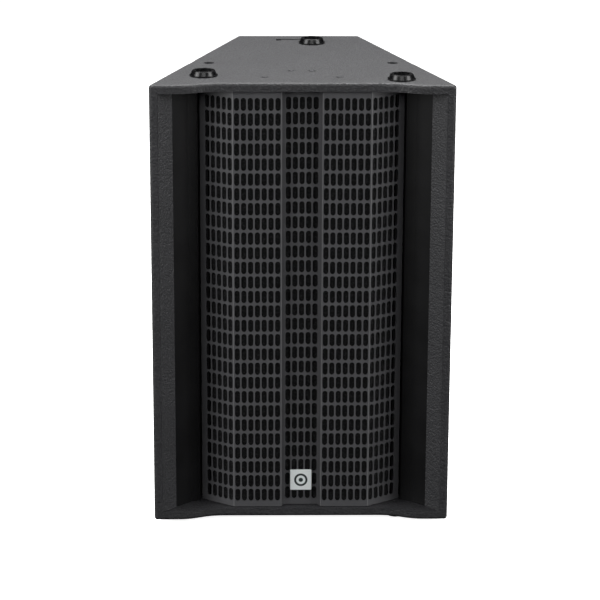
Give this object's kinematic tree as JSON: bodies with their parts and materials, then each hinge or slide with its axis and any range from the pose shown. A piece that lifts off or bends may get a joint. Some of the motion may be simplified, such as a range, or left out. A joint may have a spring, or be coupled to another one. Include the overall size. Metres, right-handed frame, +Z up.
{
  "type": "line array speaker",
  "caption": "Trapezoid stacking loudspeaker cabinet with flared front, curved perforated grille, side rods and a rear link that lock into the cabinet above.",
  "frame": {"origin": "middle of the plan, on the surface the rubber feet stand on", "axes": "+Z up, front faces -Y, +X to the right when seen from the front"},
  "size_m": [0.4504, 0.406, 0.697],
  "materials": {
    "structure_paint": "black structured paint over birch plywood",
    "black_paint": "smooth matt black paint over plywood",
    "raw_plywood": "bare birch plywood",
    "grille_steel": "satin black powder coat",
    "acoustic_foam": "open-cell black foam",
    "badge_metal": "satin, blank",
    "cast_frame": "semi-matt black",
    "surround_rubber": "matt",
    "paper_cone": "pressed paper",
    "magnet_ferrite": "matt",
    "horn_plastic": "fine grain",
    "driver_metal": "satin black",
    "diaphragm_metal": "satin",
    "tube_steel": "zinc plated",
    "rod_steel": "ground and zinc plated",
    "black_steel": "black powder coat",
    "foot_rubber": "matt",
    "insert_steel": "black zinc",
    "moulded_plastic": "fine grain",
    "grip_rubber": "matt",
    "circuit_board": "satin lacquer",
    "copper": "enamelled copper wire",
    "capacitor_film": "wrapped film",
    "damping_foam": "open-cell grey foam",
    "screw_steel": "black zinc"
  },
  "bodies": {
    "cabinet": {"top_panel": "structure_paint", "bottom_panel": "structure_paint", "side_panel_left": "structure_paint", "side_panel_right": "structure_paint", "back_panel": "structure_paint", "front_batten_left": "structure_paint", "front_batten_right": "structure_paint", "wing_left": "black_paint", "wing_right": "black_paint", "woofer_baffle": "black_paint", "grille_rail_left": "black_paint", "grille_rail_right": "black_paint", "upper_brace": "raw_plywood", "lower_brace": "raw_plywood", "grille": "grille_steel", "grille_foam": "acoustic_foam", "badge_plate": "badge_metal", "woofer_frame_upper": "cast_frame", "woofer_frame_lower": "cast_frame", "woofer_surround_upper": "surround_rubber", "woofer_surround_lower": "surround_rubber", "woofer_magnet_upper": "magnet_ferrite", "woofer_magnet_lower": "magnet_ferrite", "horn": "horn_plastic", "driver_body": "driver_metal", "rigging_tube_left": "tube_steel", "rigging_tube_right": "tube_steel", "latch_plates_left": "black_steel", "latch_plates_right": "black_steel", "rear_guide": "black_steel", "rear_receiver": "black_steel", "stacking_cup_front_left": "foot_rubber", "stacking_cup_front_right": "foot_rubber", "stacking_cup_rear": "foot_rubber", "rubber_feet": "foot_rubber", "threaded_inserts": "insert_steel", "handle_cup_left": "moulded_plastic", "handle_cup_right": "moulded_plastic", "connector_dish": "moulded_plastic", "speaker_sockets": "moulded_plastic", "handle_grip_left": "grip_rubber", "handle_grip_right": "grip_rubber", "crossover_board": "circuit_board", "crossover_chokes": "copper", "crossover_capacitors": "capacitor_film", "damping_pads_left": "damping_foam", "damping_pads_right": "damping_foam", "wood_screws": "screw_steel"},
    "upper_cone": {"woofer_cone_upper": "paper_cone", "woofer_dust_cap_upper": "paper_cone"},
    "lower_cone": {"woofer_cone_lower": "paper_cone", "woofer_dust_cap_lower": "paper_cone"},
    "diaphragm": {"driver_diaphragm": "diaphragm_metal"},
    "left_rod": {"rigging_rod_left": "rod_steel"},
    "right_rod": {"rigging_rod_right": "rod_steel"},
    "left_plunger": {"lock_plunger_left": "rod_steel"},
    "right_plunger": {"lock_plunger_right": "rod_steel"},
    "rear_link": {"rear_link": "black_steel"},
    "rear_plunger": {"rear_plunger": "rod_steel"}
  },
  "joints": [
    {"name": "upper_cone_stroke", "type": "slide", "parent": "cabinet", "child": "upper_cone", "axis": [0, -1, 0], "range_m": [-0.004, 0.004], "stiffness_N_per_m": 3000},
    {"name": "lower_cone_stroke", "type": "slide", "parent": "cabinet", "child": "lower_cone", "axis": [0, -1, 0], "range_m": [-0.004, 0.004], "stiffness_N_per_m": 3000},
    {"name": "diaphragm_stroke", "type": "slide", "parent": "cabinet", "child": "diaphragm", "axis": [0, -1, 0], "range_m": [-0.0003, 0.0003], "stiffness_N_per_m": 5000},
    {"name": "left_rod_lift", "type": "slide", "parent": "cabinet", "child": "left_rod", "axis": [0, 0, 1], "range_m": [0, 0.078]},
    {"name": "right_rod_lift", "type": "slide", "parent": "cabinet", "child": "right_rod", "axis": [0, 0, 1], "range_m": [0, 0.078]},
    {"name": "left_plunger_pull", "type": "slide", "parent": "cabinet", "child": "left_plunger", "axis": [-0.953, 0.3028, 0], "range_m": [0, 0.008], "stiffness_N_per_m": 600, "springref_m": -0.005},
    {"name": "right_plunger_pull", "type": "slide", "parent": "cabinet", "child": "right_plunger", "axis": [0.953, 0.3028, 0], "range_m": [0, 0.008], "stiffness_N_per_m": 600, "springref_m": -0.005},
    {"name": "rear_link_lift", "type": "slide", "parent": "cabinet", "child": "rear_link", "axis": [0, 0, 1], "range_m": [0, 0.0655]},
    {"name": "rear_plunger_pull", "type": "slide", "parent": "cabinet", "child": "rear_plunger", "axis": [0, 1, 0], "range_m": [0, 0.008], "stiffness_N_per_m": 600, "springref_m": -0.005}
  ]
}
